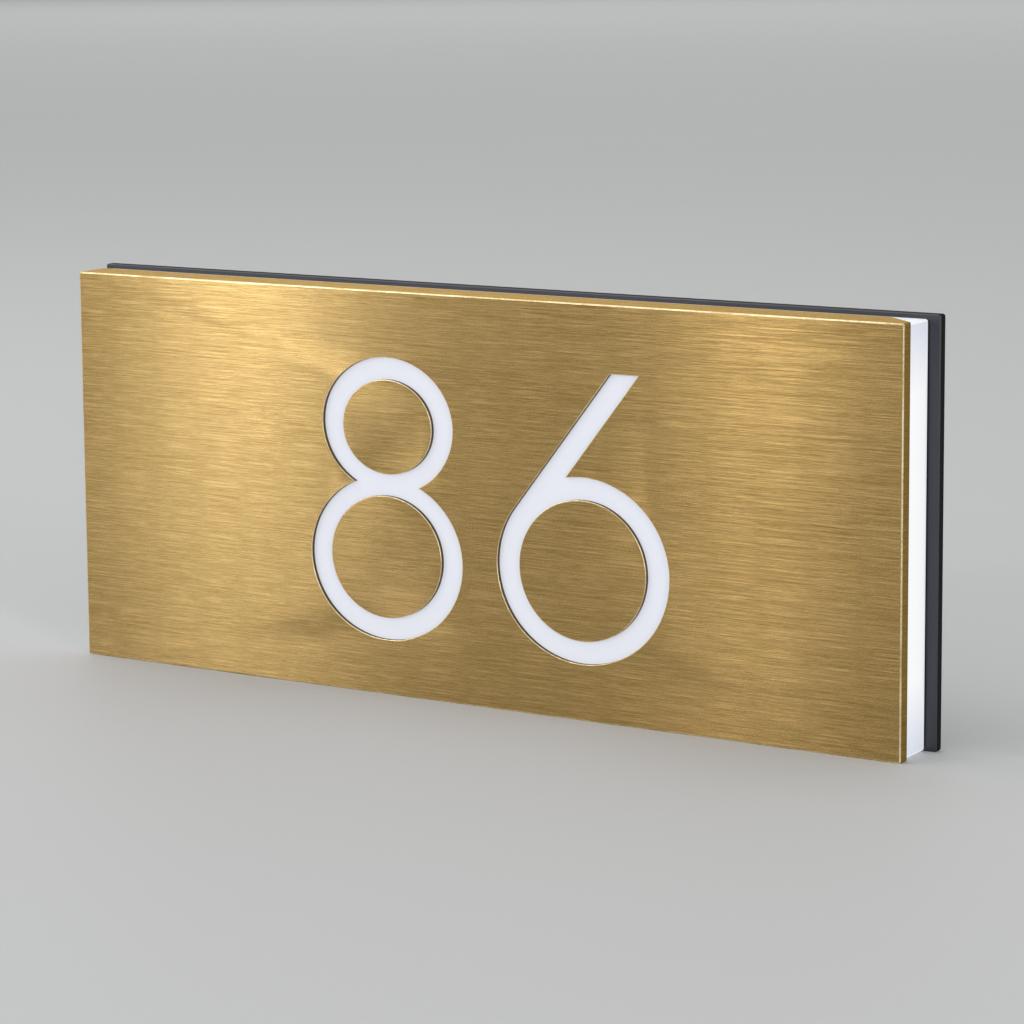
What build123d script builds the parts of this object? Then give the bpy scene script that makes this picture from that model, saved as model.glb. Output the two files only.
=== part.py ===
from build123d import *
import os
from dataclasses import dataclass
from math import cos, hypot, radians, sin

# Illuminated house number sign: a folded brass face tray with the numerals 8 and 6 cut right through it,
# bonded to an opal diffuser housing. The housing hangs on two hooks of a black back plate and is locked from
# below by two screws. Four LED bars on the plate light the housing from inside.
#
# Frame: X runs along the width, Y from the front to the back, Z up. The origin is the middle of the bottom of
# the sign, half way through its depth. All sizes are in millimetres. A "depth" is counted from the front
# surface of the brass towards the back.

# ---------------------------------------------------------------- face tray
FACE_WIDTH = 350.0
FACE_HEIGHT = 150.0
SHEET = 1.5
SIDE_RETURN = 5.0
TOP_RETURN = 15.0
RETURN_CUT = 12.0
BEND_RADIUS = 0.6
CORNER_RADIUS = 0.6

# ---------------------------------------------------------------- numerals
BASE_LINE = 20.6
NUMERAL_HEIGHT = 105.0
EIGHT_UPPER_X = -33.0
EIGHT_UPPER_HALF_WIDTH = 28.5
EIGHT_LOWER_X = -34.0
EIGHT_LOWER_HALF_WIDTH = 33.3
EIGHT_LOWER_HALF_HEIGHT = 30.4
EIGHT_SIDE_STROKE = 9.0
EIGHT_LEVEL_STROKE = 7.6
WAIST_OVERLAP = 6.0
WAIST_SHIFT = 0.6
SIX_X = 49.8
SIX_HALF_WIDTH = 35.5
SIX_HALF_HEIGHT = 33.7
SIX_SIDE_STROKE = 9.3
SIX_LEVEL_STROKE = 8.2
BAR_ANGLE = 51.9
BAR_STROKE = 9.0

# ---------------------------------------------------------------- diffuser housing
FILM = 0.3
OPAL_WALL = 3.0
HOUSING_DEPTH = 20.0
FIT_GAP = 0.2
BAND_INSET = 0.5
OPAL_CORNER = 1.0
OPAL_REAR_EDGE = 0.8
CAVITY_CORNER = 2.0

# ---------------------------------------------------------------- back plate and seal
GASKET = 1.0
GASKET_INSET = 0.6
PLATE = 4.0
PLATE_SIDE_MARGIN = 3.5
PLATE_TOP_MARGIN = 1.0
PLATE_CORNER = 1.0
PLATE_CHAMFER = 0.4
WALL_HOLE_RADIUS = 2.5
WALL_HOLE_INSET = 15.0
WALL_HEAD_RADIUS = 4.5

# ---------------------------------------------------------------- light bars
REFLECTOR = 0.5
REFLECTOR_GAP = 0.5
BAR_COUNT = 4
BAR_END_GAP = 15.3
BAR_EDGE_DISTANCE = 27.5
BOARD_HEIGHT = 10.0
BOARD = 1.2
LED_COUNT = 12
LED_END_DISTANCE = 17.5
LED_LENGTH = 3.5
LED_HEIGHT = 2.8
LED_THICKNESS = 0.7
RESISTOR_LENGTH = 3.2
RESISTOR_HEIGHT = 1.6
RESISTOR_THICKNESS = 0.6
RESISTOR_SHIFT = 5.5
SCREW_STEP_COUNT = 4

# ---------------------------------------------------------------- small screws
SCREW_RADIUS = 1.5
HEAD_RADIUS = 2.75
HEAD_HEIGHT = 1.9
DRIVE_RADIUS = 1.1
DRIVE_DEPTH = 1.1
THREAD_GAP = 0.05
HOLE_GAP = 0.1
PLATE_GRIP = 3.2

# ---------------------------------------------------------------- leads
LEAD_RADIUS = 0.6
LEAD_BEND = 2.2
LEAD_SPACING = 4.0
LEAD_GRIP = 5.0
PAD_EDGE = 1.5
JUMPER_END = 8.0

# ---------------------------------------------------------------- terminal block and cable entry
TERMINAL_X = 42.0
TERMINAL_WIDTH = 19.0
TERMINAL_HEIGHT = 12.0
TERMINAL_DEPTH = 8.0
TERMINAL_EDGE = 0.5
POLE_PITCH = 10.0
CLAMP_SIZE = 5.0
CLAMP_LENGTH = 10.0
CLAMP_SCREW_PITCH = 4.6
CLAMP_SCREW_RADIUS = 1.3
SLOT_SIZE = 0.5
WIRE_HOLE_RADIUS = 1.4
CABLE_RADIUS = 3.0
NECK_RADIUS = 6.0
FLANGE_RADIUS = 8.0
FLANGE = 1.5
FLANGE_EDGE = 0.5
REAR_LIP_RADIUS = 7.5
REAR_LIP = 1.2
LIP_RECESS_GAP = 0.2

# ---------------------------------------------------------------- hooks and lock brackets
FASTENER_INSET = 75.0
BRACKET_SHEET = 1.5
HOOK_WIDTH = 24.0
HOOK_REACH = 11.5
HOOK_FOOT = 12.0
RIB_WIDTH = 20.0
RIB_THICKNESS = 3.0
RIB_HEIGHT = 2.8
SEAT_GAP = 0.2
BRACKET_FOOT = 14.0
BRACKET_REACH = 11.0
BRACKET_BEND = 1.5
FOOT_SCREW_PITCH = 14.0
LOCK_SCREW_DEPTH = 14.0
LOCK_SCREW_LENGTH = 9.5
LOCK_HEAD_RADIUS = 2.8

# ---------------------------------------------------------------- depths and heights worked out from the sizes
OPAL_FRONT = SHEET + FILM
CAVITY_FRONT = OPAL_FRONT + OPAL_WALL
PLATE_FRONT = HOUSING_DEPTH + GASKET
TOTAL_DEPTH = PLATE_FRONT + PLATE
REFLECTOR_FRONT = PLATE_FRONT - REFLECTOR
BOARD_FRONT = REFLECTOR_FRONT - BOARD
FRONT_Y = -TOTAL_DEPTH / 2

CORE_WIDTH = FACE_WIDTH - 2 * (SHEET + FIT_GAP)
CORE_HEIGHT = FACE_HEIGHT - 2 * (SHEET + FIT_GAP)
CAVITY_WIDTH = CORE_WIDTH - 2 * OPAL_WALL
CAVITY_HEIGHT = CORE_HEIGHT - 2 * OPAL_WALL
BAND_WIDTH = FACE_WIDTH - 2 * BAND_INSET
BAND_HEIGHT = FACE_HEIGHT - 2 * BAND_INSET
FACE_MID = FACE_HEIGHT / 2
CAVITY_FLOOR = FACE_MID - CAVITY_HEIGHT / 2
CAVITY_ROOF = FACE_MID + CAVITY_HEIGHT / 2

PLATE_WIDTH = FACE_WIDTH + 2 * PLATE_SIDE_MARGIN
PLATE_HEIGHT = FACE_HEIGHT + PLATE_TOP_MARGIN
PLATE_MID = PLATE_HEIGHT / 2
FASTENER_X = FACE_WIDTH / 2 - FASTENER_INSET

BAR_NAMES = ("bottom", "lower", "upper", "top")
BAR_LENGTH = CAVITY_WIDTH - 2 * BAR_END_GAP
BAR_PITCH = (PLATE_HEIGHT - 2 * BAR_EDGE_DISTANCE) / (BAR_COUNT - 1)
BAR_HEIGHTS = [BAR_EDGE_DISTANCE + i * BAR_PITCH for i in range(BAR_COUNT)]
LED_PITCH = (BAR_LENGTH - 2 * LED_END_DISTANCE) / (LED_COUNT - 1)
LED_PLACES = [LED_END_DISTANCE - BAR_LENGTH / 2 + i * LED_PITCH for i in range(LED_COUNT)]
BOARD_SCREW_PLACES = [-SCREW_STEP_COUNT * LED_PITCH, SCREW_STEP_COUNT * LED_PITCH]
RESISTOR_PLACES = LED_PLACES[1::3]
JUMPER_X = BAR_LENGTH / 2 - JUMPER_END

WALL_HOLE_X = FACE_WIDTH / 2 - WALL_HOLE_INSET
TERMINAL_FRONT = REFLECTOR_FRONT - TERMINAL_DEPTH
WIRE_DEPTH = REFLECTOR_FRONT - TERMINAL_DEPTH / 2


# ---------------------------------------------------------------- helpers
def face_plane(depth):
    """A drawing plane parallel to the face: its x is X and its y is Z."""
    return Plane(origin=(0, FRONT_Y + depth, 0), x_dir=(1, 0, 0), z_dir=(0, -1, 0))


def side_plane(x):
    """A drawing plane across the width: its x is the depth and its y is Z."""
    return Plane(origin=(x, FRONT_Y, 0), x_dir=(0, 1, 0), z_dir=(1, 0, 0))


def slab(sketch, depth, thickness):
    """Thicken a sketch of the face plane from one depth towards the back."""
    return extrude(face_plane(depth) * sketch, amount=-thickness)


def plate_block(width, height, mid_z, depth, thickness):
    """A plain rectangular block, centred on X, with its front at the given depth."""
    return slab(Pos(0, mid_z) * Rectangle(width, height), depth, thickness)


def small_block(x, z, width, height, depth, thickness):
    """A rectangular block centred at (x, z), with its front at the given depth."""
    return slab(Pos(x, z) * Rectangle(width, height), depth, thickness)


def rod(x, z, radius, depth, length):
    """A round bar along Y, with its front at the given depth."""
    return slab(Pos(x, z) * Circle(radius), depth, length)


def cone(x, z, front_radius, back_radius, depth, length):
    """A cone along Y, with its front at the given depth."""
    axis_place = Location((x, FRONT_Y + depth, z), (-90, 0, 0))
    return axis_place * Cone(front_radius, back_radius, length, align=(Align.CENTER, Align.CENTER, Align.MIN))


def group(solids):
    """Several separate solids that share one node."""
    return Compound(children=list(solids))


def small_screw(x, z, head_depth, shank):
    """A socket screw driven towards the back, its head's seat at head_depth."""
    head = rod(x, z, HEAD_RADIUS, head_depth - HEAD_HEIGHT, HEAD_HEIGHT)
    screw = head + rod(x, z, SCREW_RADIUS - THREAD_GAP, head_depth, shank)
    drive = slab(Pos(x, z) * RegularPolygon(DRIVE_RADIUS, 6), head_depth - HEAD_HEIGHT, DRIVE_DEPTH)
    return screw - drive


# ---------------------------------------------------------------- numerals
@dataclass(frozen=True)
class Bowl:
    """One round of a numeral: an oval opening in the sheet, with a brass island inside it."""

    x: float
    z: float
    half_width: float
    half_height: float
    side_stroke: float
    level_stroke: float
    island_shift: float = 0.0

    def opening(self):
        """Outline of the opening."""
        return Pos(self.x, self.z) * Ellipse(self.half_width, self.half_height)

    def island(self):
        """Outline of the island, which leaves one stroke of the opening free all round."""
        outline = Ellipse(self.half_width - self.side_stroke, self.half_height - self.level_stroke)
        return Pos(self.x, self.z + self.island_shift) * outline


def eight_lower():
    """The lower round of the 8, on the base line; its island is drawn up towards the waist."""
    return Bowl(
        EIGHT_LOWER_X,
        BASE_LINE + EIGHT_LOWER_HALF_HEIGHT,
        EIGHT_LOWER_HALF_WIDTH,
        EIGHT_LOWER_HALF_HEIGHT,
        EIGHT_SIDE_STROKE,
        EIGHT_LEVEL_STROKE,
        WAIST_SHIFT,
    )


def eight_upper():
    """The upper round of the 8, which fills the rest of the height; its island is drawn down."""
    half_height = (NUMERAL_HEIGHT + WAIST_OVERLAP) / 2 - EIGHT_LOWER_HALF_HEIGHT
    return Bowl(
        EIGHT_UPPER_X,
        BASE_LINE + NUMERAL_HEIGHT - half_height,
        EIGHT_UPPER_HALF_WIDTH,
        half_height,
        EIGHT_SIDE_STROKE,
        EIGHT_LEVEL_STROKE,
        -WAIST_SHIFT,
    )


def six_bowl():
    """The round of the 6, on the base line."""
    return Bowl(
        SIX_X,
        BASE_LINE + SIX_HALF_HEIGHT,
        SIX_HALF_WIDTH,
        SIX_HALF_HEIGHT,
        SIX_SIDE_STROKE,
        SIX_LEVEL_STROKE,
    )


def six_bar():
    """The slanted bar of the 6: its left edge is tangent to the bowl and its top is cut level."""
    lean = cos(radians(BAR_ANGLE)) / sin(radians(BAR_ANGLE))
    tangent_reach = hypot(SIX_HALF_WIDTH, lean * SIX_HALF_HEIGHT)
    left_at_centre = SIX_X - tangent_reach
    level_width = BAR_STROKE / sin(radians(BAR_ANGLE))
    rise = lean * SIX_HALF_HEIGHT ** 2 / tangent_reach
    touch_x = left_at_centre + lean * rise
    touch_z = BASE_LINE + SIX_HALF_HEIGHT + rise
    top_z = BASE_LINE + NUMERAL_HEIGHT
    top_x = touch_x + lean * (top_z - touch_z)
    outline = Polyline(
        (touch_x, touch_z),
        (top_x, top_z),
        (top_x + level_width, top_z),
        (touch_x + level_width, touch_z),
        close=True,
    )
    return make_face(outline)


def numeral_openings():
    """The through cut-outs of both numerals, islands not yet put back."""
    return eight_upper().opening() + eight_lower().opening(), six_bowl().opening() + six_bar()


def island_outlines():
    """The three islands, by node name."""
    return {
        "island_eight_upper": eight_upper().island(),
        "island_eight_lower": eight_lower().island(),
        "island_six": six_bowl().island(),
    }


# ---------------------------------------------------------------- brass
def top_return_plan(growth):
    """Plan of the top return behind the side returns, grown by a gap: square on the left, slanted on the right."""
    start = SIDE_RETURN + growth
    end = TOP_RETURN + growth
    half = FACE_WIDTH / 2
    outline = Polyline((-half, start), (-half, end), (half - RETURN_CUT, end), (half, start), close=True)
    return make_face(outline)


def extrude_plan(plan, bottom, top):
    """Raise a plan sketch, drawn in (X, depth), between two heights."""
    floor = Plane(origin=(0, FRONT_Y, bottom), x_dir=(1, 0, 0), z_dir=(0, 0, 1))
    return extrude(floor * plan, amount=top - bottom)


def tray_block(thickness):
    """The tray's outside as a block with rounded corners, from the face towards the back."""
    block = plate_block(FACE_WIDTH, FACE_HEIGHT, FACE_MID, 0, thickness)
    return fillet(block.edges().filter_by(Axis.Y), CORNER_RADIUS)


def build_face_tray():
    """The folded brass tray: face, three shallow returns, a deeper top return and the numeral cut-outs."""
    outer = tray_block(SIDE_RETURN)
    outer = fillet(outer.faces().sort_by(Axis.Y)[0].edges(), BEND_RADIUS)
    hollow = plate_block(FACE_WIDTH - 2 * SHEET, FACE_HEIGHT - 2 * SHEET, FACE_MID, SHEET, SIDE_RETURN)
    top_return = extrude_plan(top_return_plan(0), FACE_HEIGHT - SHEET, FACE_HEIGHT)
    tray = outer - hollow + (top_return & tray_block(TOP_RETURN))
    for opening in numeral_openings():
        tray -= slab(opening, -SHEET, 3 * SHEET)
    return tray


def build_islands():
    """The three brass islands, flush with the tray's face."""
    return {name: slab(outline, 0, SHEET) for name, outline in island_outlines().items()}


def build_face_film():
    """Bonding film behind the tray's face, with the same cut-outs."""
    film = plate_block(CORE_WIDTH, CORE_HEIGHT, FACE_MID, SHEET, FILM)
    for opening in numeral_openings():
        film -= slab(opening, 0, OPAL_FRONT + FILM)
    return film


def build_island_films():
    """Bonding film behind each island."""
    return group(slab(outline, SHEET, FILM) for outline in island_outlines().values())


# ---------------------------------------------------------------- diffuser housing
def hook_rib(x):
    """Rib under the housing's roof that rests on a hook."""
    inner_bend = BRACKET_BEND - BRACKET_SHEET / 2
    rib_depth = REFLECTOR_FRONT - HOOK_REACH + BRACKET_SHEET + inner_bend
    height = RIB_HEIGHT + FIT_GAP
    mid_z = CAVITY_ROOF - RIB_HEIGHT + height / 2
    return small_block(x, mid_z, RIB_WIDTH, height, rib_depth, RIB_THICKNESS)


def lock_screw_hole(x):
    """Countersunk hole for a lock screw, from below through the housing's floor."""
    y = FRONT_Y + LOCK_SCREW_DEPTH
    up = (Align.CENTER, Align.CENTER, Align.MIN)
    sink = Pos(x, y, BAND_INSET) * Cone(LOCK_HEAD_RADIUS, SCREW_RADIUS, LOCK_HEAD_RADIUS - SCREW_RADIUS, align=up)
    bore = Pos(x, y, 0) * Cylinder(SCREW_RADIUS + HOLE_GAP, CAVITY_FLOOR + OPAL_WALL, align=up)
    return sink + bore


def build_diffuser_shell():
    """The opal housing: a stepped box, open at the back, with two hanging ribs and two countersunk holes."""
    core = plate_block(CORE_WIDTH, CORE_HEIGHT, FACE_MID, OPAL_FRONT, HOUSING_DEPTH - OPAL_FRONT)
    core = fillet(core.edges().filter_by(Axis.Y), OPAL_CORNER)
    band_start = SIDE_RETURN + FIT_GAP
    band = plate_block(BAND_WIDTH, BAND_HEIGHT, FACE_MID, band_start, HOUSING_DEPTH - band_start)
    band = fillet(band.edges().filter_by(Axis.Y), OPAL_CORNER)
    band = fillet(band.faces().sort_by(Axis.Y)[-1].edges(), OPAL_REAR_EDGE)
    core_top = FACE_MID + CORE_HEIGHT / 2
    lip_room = extrude_plan(top_return_plan(FIT_GAP), core_top, FACE_HEIGHT)
    shell = core + (band - lip_room)
    cavity = plate_block(CAVITY_WIDTH, CAVITY_HEIGHT, FACE_MID, CAVITY_FRONT, HOUSING_DEPTH)
    cavity = fillet(cavity.edges().filter_by(Axis.Y), CAVITY_CORNER)
    shell -= cavity
    for x in (-FASTENER_X, FASTENER_X):
        shell += hook_rib(x)
        shell -= lock_screw_hole(x)
    return shell


# ---------------------------------------------------------------- plate, seal and reflector
def build_rim_gasket():
    """Flat foam gasket between the housing's rim and the plate."""
    outer = Pos(0, FACE_MID) * RectangleRounded(
        BAND_WIDTH - 2 * GASKET_INSET, BAND_HEIGHT - 2 * GASKET_INSET, OPAL_CORNER
    )
    inner = Pos(0, FACE_MID) * RectangleRounded(CAVITY_WIDTH, CAVITY_HEIGHT, CAVITY_CORNER)
    return slab(outer - inner, HOUSING_DEPTH, GASKET)


def wall_hole_places():
    """The four wall-screw holes, between the light bars, as (x, z)."""
    return [(sx * WALL_HOLE_X, PLATE_MID + sz * BAR_PITCH) for sx in (-1, 1) for sz in (-1, 1)]


def board_screw_places():
    """Every screw of the light bars, as (x, z)."""
    return [(x, z) for z in BAR_HEIGHTS for x in BOARD_SCREW_PLACES]


def foot_screw_places(foot_z):
    """The screws of two bracket feet at one height, as (x, z)."""
    half = FOOT_SCREW_PITCH / 2
    return [(side * FASTENER_X + shift, foot_z) for side in (-1, 1) for shift in (-half, half)]


def hook_foot_z():
    """Height of the hooks' screws."""
    return hook_seat_z() - HOOK_FOOT / 2


def bracket_foot_z():
    """Height of the lock brackets' screws."""
    return CAVITY_FLOOR + FIT_GAP + BRACKET_FOOT / 2 + BRACKET_SHEET


def hook_seat_z():
    """Height of the hooks' upper side, which carries the housing's ribs."""
    return CAVITY_ROOF - RIB_HEIGHT - SEAT_GAP


def plate_screw_places():
    """Every small screw that is driven into the plate, as (x, z)."""
    places = board_screw_places()
    places += foot_screw_places(hook_foot_z())
    places += foot_screw_places(bracket_foot_z())
    places.append((TERMINAL_X, PLATE_MID))
    return places


def build_back_plate():
    """The black plate: countersunk wall holes, recessed cable hole and blind tapped holes."""
    outline = Pos(0, PLATE_MID) * RectangleRounded(PLATE_WIDTH, PLATE_HEIGHT, PLATE_CORNER)
    plate = slab(outline, PLATE_FRONT, PLATE)
    rims = plate.faces().sort_by(Axis.Y)[0].edges() + plate.faces().sort_by(Axis.Y)[-1].edges()
    plate = chamfer(rims, PLATE_CHAMFER)
    sink_depth = WALL_HEAD_RADIUS - WALL_HOLE_RADIUS
    for x, z in wall_hole_places():
        plate -= rod(x, z, WALL_HOLE_RADIUS, PLATE_FRONT, PLATE)
        plate -= cone(x, z, WALL_HEAD_RADIUS, WALL_HOLE_RADIUS, PLATE_FRONT, sink_depth)
    for x, z in plate_screw_places():
        plate -= rod(x, z, SCREW_RADIUS, PLATE_FRONT, PLATE_GRIP + THREAD_GAP)
    plate -= rod(0, PLATE_MID, NECK_RADIUS, PLATE_FRONT, PLATE)
    recess = REAR_LIP + LIP_RECESS_GAP
    plate -= rod(0, PLATE_MID, REAR_LIP_RADIUS + LIP_RECESS_GAP, TOTAL_DEPTH - recess, recess)
    return plate


def build_reflector_sheet():
    """White sheet on the plate, with clearance for every screw and for the cable entry."""
    width = CAVITY_WIDTH - 2 * REFLECTOR_GAP
    height = CAVITY_HEIGHT - 2 * REFLECTOR_GAP
    sheet = slab(Pos(0, FACE_MID) * RectangleRounded(width, height, CAVITY_CORNER), REFLECTOR_FRONT, REFLECTOR)
    for x, z in plate_screw_places():
        sheet -= rod(x, z, SCREW_RADIUS + HOLE_GAP, REFLECTOR_FRONT, REFLECTOR)
    for x, z in wall_hole_places():
        sheet -= rod(x, z, WALL_HEAD_RADIUS + HOLE_GAP, REFLECTOR_FRONT, REFLECTOR)
    sheet -= rod(0, PLATE_MID, FLANGE_RADIUS + HOLE_GAP, REFLECTOR_FRONT, REFLECTOR)
    return sheet


# ---------------------------------------------------------------- light bars
def build_led_bar(z):
    """One circuit board, with its two screw holes."""
    board = small_block(0, z, BAR_LENGTH, BOARD_HEIGHT, BOARD_FRONT, BOARD)
    for x in BOARD_SCREW_PLACES:
        board -= rod(x, z, SCREW_RADIUS + HOLE_GAP, BOARD_FRONT, BOARD)
    return board


def build_led_chips(z):
    """The LEDs of one bar."""
    depth = BOARD_FRONT - LED_THICKNESS
    return group(small_block(x, z, LED_LENGTH, LED_HEIGHT, depth, LED_THICKNESS) for x in LED_PLACES)


def build_resistors():
    """The series resistors of all bars."""
    depth = BOARD_FRONT - RESISTOR_THICKNESS
    solids = []
    for z in BAR_HEIGHTS:
        for x in RESISTOR_PLACES:
            place = x + RESISTOR_SHIFT
            solids.append(small_block(place, z, RESISTOR_LENGTH, RESISTOR_HEIGHT, depth, RESISTOR_THICKNESS))
    return group(solids)


def build_bar_screws():
    """The screws that hold the bars to the plate."""
    shank = BOARD + REFLECTOR + PLATE_GRIP
    return group(small_screw(x, z, BOARD_FRONT, shank) for x, z in board_screw_places())


# ---------------------------------------------------------------- leads
def upright(x, depth, bottom, radius, length):
    """A round bar along Z that stands on the given height."""
    place = Pos(x, FRONT_Y + depth, bottom)
    return place * Cylinder(radius, length, align=(Align.CENTER, Align.CENTER, Align.MIN))


def build_jumper_leads(x):
    """One straight lead from each bar to the next, lying on the pads at one place along the bars."""
    bottom_to_pad = BOARD_HEIGHT / 2 - PAD_EDGE
    depth = BOARD_FRONT - LEAD_RADIUS
    length = BAR_PITCH - 2 * bottom_to_pad
    return group(upright(x, depth, z + bottom_to_pad, LEAD_RADIUS, length) for z in BAR_HEIGHTS[:-1])


def build_feed_lead(x):
    """The lead from one pole of the terminal block up to the board above it."""
    wire_y = FRONT_Y + WIRE_DEPTH
    pad_z = BAR_HEIGHTS[BAR_COUNT // 2] - BOARD_HEIGHT / 2 + PAD_EDGE
    clamp_top = PLATE_MID + CLAMP_LENGTH / 2
    corners = [(x, wire_y, clamp_top - LEAD_GRIP), (x, wire_y, pad_z), (x, FRONT_Y + BOARD_FRONT, pad_z)]
    route = FilletPolyline(*corners, radius=LEAD_BEND)
    return sweep(Plane(origin=route @ 0, z_dir=route % 0) * Circle(LEAD_RADIUS), path=route)


# ---------------------------------------------------------------- terminal block
def pole_places():
    """Where the two poles stand along the width."""
    return [TERMINAL_X - POLE_PITCH / 2, TERMINAL_X + POLE_PITCH / 2]


def clamp_screw_heights():
    """The two clamping screws of a pole: the lower one for the supply, the upper one for the lead."""
    return [PLATE_MID - CLAMP_SCREW_PITCH / 2, PLATE_MID + CLAMP_SCREW_PITCH / 2]


def clamp_block(x):
    """The outside of one metal sleeve."""
    return small_block(x, PLATE_MID, CLAMP_SIZE, CLAMP_LENGTH, WIRE_DEPTH - CLAMP_SIZE / 2, CLAMP_SIZE)


def wire_hole(x):
    """The round hole up through one pole."""
    return upright(x, WIRE_DEPTH, PLATE_MID - TERMINAL_HEIGHT / 2, WIRE_HOLE_RADIUS, TERMINAL_HEIGHT)


def build_terminal_block():
    """The moulded body: wire holes, screw wells and a central mounting hole."""
    body = small_block(TERMINAL_X, PLATE_MID, TERMINAL_WIDTH, TERMINAL_HEIGHT, TERMINAL_FRONT, TERMINAL_DEPTH)
    body = chamfer(body.faces().sort_by(Axis.Y)[0].edges(), TERMINAL_EDGE)
    for x in pole_places():
        body -= wire_hole(x)
        body -= clamp_block(x)
        for z in clamp_screw_heights():
            body -= rod(x, z, CLAMP_SCREW_RADIUS + HOLE_GAP, TERMINAL_FRONT, TERMINAL_DEPTH / 2)
    body -= rod(TERMINAL_X, PLATE_MID, SCREW_RADIUS + HOLE_GAP, TERMINAL_FRONT, TERMINAL_DEPTH)
    return body


def build_terminal_clamps():
    """The two metal sleeves inside the block."""
    solids = []
    for x in pole_places():
        sleeve = clamp_block(x) - wire_hole(x)
        for z in clamp_screw_heights():
            sleeve -= rod(x, z, CLAMP_SCREW_RADIUS, WIRE_DEPTH - CLAMP_SIZE / 2, CLAMP_SIZE / 2)
        solids.append(sleeve)
    return group(solids)


def build_terminal_screws():
    """The slotted clamping screws: open on the supply side, down on the lead on the other."""
    front = TERMINAL_FRONT + TERMINAL_EDGE
    solids = []
    for x in pole_places():
        for z, stop in zip(clamp_screw_heights(), (WIRE_HOLE_RADIUS, LEAD_RADIUS)):
            screw = rod(x, z, CLAMP_SCREW_RADIUS - THREAD_GAP, front, WIRE_DEPTH - stop - front)
            screw -= small_block(x, z, 2 * CLAMP_SCREW_RADIUS, SLOT_SIZE, front, SLOT_SIZE)
            solids.append(screw)
    return group(solids)


def build_terminal_mount_screw():
    """The screw that holds the block to the plate."""
    return small_screw(TERMINAL_X, PLATE_MID, TERMINAL_FRONT, TERMINAL_DEPTH + REFLECTOR + PLATE_GRIP)


def build_cable_grommet():
    """Rubber grommet: front flange, neck through the plate and a rear lip sunk in the plate's recess."""
    grommet = rod(0, PLATE_MID, FLANGE_RADIUS, PLATE_FRONT - FLANGE, FLANGE)
    grommet = chamfer(grommet.edges().group_by(Axis.Y)[0], FLANGE_EDGE)
    grommet += rod(0, PLATE_MID, NECK_RADIUS, PLATE_FRONT, PLATE - REAR_LIP)
    grommet += rod(0, PLATE_MID, REAR_LIP_RADIUS, TOTAL_DEPTH - REAR_LIP - LIP_RECESS_GAP, REAR_LIP)
    grommet -= rod(0, PLATE_MID, CABLE_RADIUS, PLATE_FRONT - FLANGE, TOTAL_DEPTH)
    return grommet


# ---------------------------------------------------------------- hooks and lock brackets
def bent_strip(points, x, width):
    """A bent sheet-metal strip: its middle line is drawn in (depth, Z)."""
    middle = FilletPolyline(*points, radius=BRACKET_BEND)
    profile = trace(middle, line_width=BRACKET_SHEET)
    return extrude(side_plane(x - width / 2) * profile, amount=width)


def drill_foot(part, x, foot_z):
    """Cut the two screw holes of a bracket's foot."""
    for shift in (-FOOT_SCREW_PITCH / 2, FOOT_SCREW_PITCH / 2):
        part -= rod(x + shift, foot_z, SCREW_RADIUS + HOLE_GAP, REFLECTOR_FRONT - BRACKET_SHEET, BRACKET_SHEET)
    return part


def build_top_hooks():
    """Two hooks on the plate that carry the housing's ribs and keep them from moving forward."""
    half = BRACKET_SHEET / 2
    foot_depth = REFLECTOR_FRONT - half
    tip_depth = REFLECTOR_FRONT - HOOK_REACH + half
    seat = hook_seat_z()
    solids = []
    for x in (-FASTENER_X, FASTENER_X):
        points = [
            (foot_depth, seat - HOOK_FOOT),
            (foot_depth, seat - half),
            (tip_depth, seat - half),
            (tip_depth, CAVITY_ROOF - SEAT_GAP),
        ]
        solids.append(drill_foot(bent_strip(points, x, HOOK_WIDTH), x, hook_foot_z()))
    return group(solids)


def build_lock_brackets():
    """Two brackets on the plate that the lock screws are driven into."""
    half = BRACKET_SHEET / 2
    foot_depth = REFLECTOR_FRONT - half
    leg_z = CAVITY_FLOOR + FIT_GAP + half
    y = FRONT_Y + LOCK_SCREW_DEPTH
    solids = []
    for x in (-FASTENER_X, FASTENER_X):
        points = [
            (foot_depth, leg_z + half + BRACKET_FOOT),
            (foot_depth, leg_z),
            (REFLECTOR_FRONT - BRACKET_REACH, leg_z),
        ]
        bracket = drill_foot(bent_strip(points, x, HOOK_WIDTH), x, bracket_foot_z())
        bracket -= Pos(x, y, leg_z) * Cylinder(SCREW_RADIUS, 2 * BRACKET_SHEET)
        solids.append(bracket)
    return group(solids)


def build_foot_screws(foot_z):
    """The screws of the hooks' or the brackets' feet."""
    shank = BRACKET_SHEET + REFLECTOR + PLATE_GRIP
    head_depth = REFLECTOR_FRONT - BRACKET_SHEET
    return group(small_screw(x, z, head_depth, shank) for x, z in foot_screw_places(foot_z))


def build_lock_screws():
    """The two countersunk screws that lock the housing from below."""
    y = FRONT_Y + LOCK_SCREW_DEPTH
    up = (Align.CENTER, Align.CENTER, Align.MIN)
    radius = SCREW_RADIUS - THREAD_GAP
    head_height = LOCK_HEAD_RADIUS - SCREW_RADIUS
    solids = []
    for x in (-FASTENER_X, FASTENER_X):
        head = Pos(x, y, BAND_INSET) * Cone(LOCK_HEAD_RADIUS - THREAD_GAP, radius, head_height, align=up)
        shank = Pos(x, y, BAND_INSET) * Cylinder(radius, LOCK_SCREW_LENGTH, align=up)
        drive = Pos(x, y, BAND_INSET) * Cylinder(DRIVE_RADIUS, DRIVE_DEPTH, align=up)
        solids.append(head + shank - drive)
    return group(solids)


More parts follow.
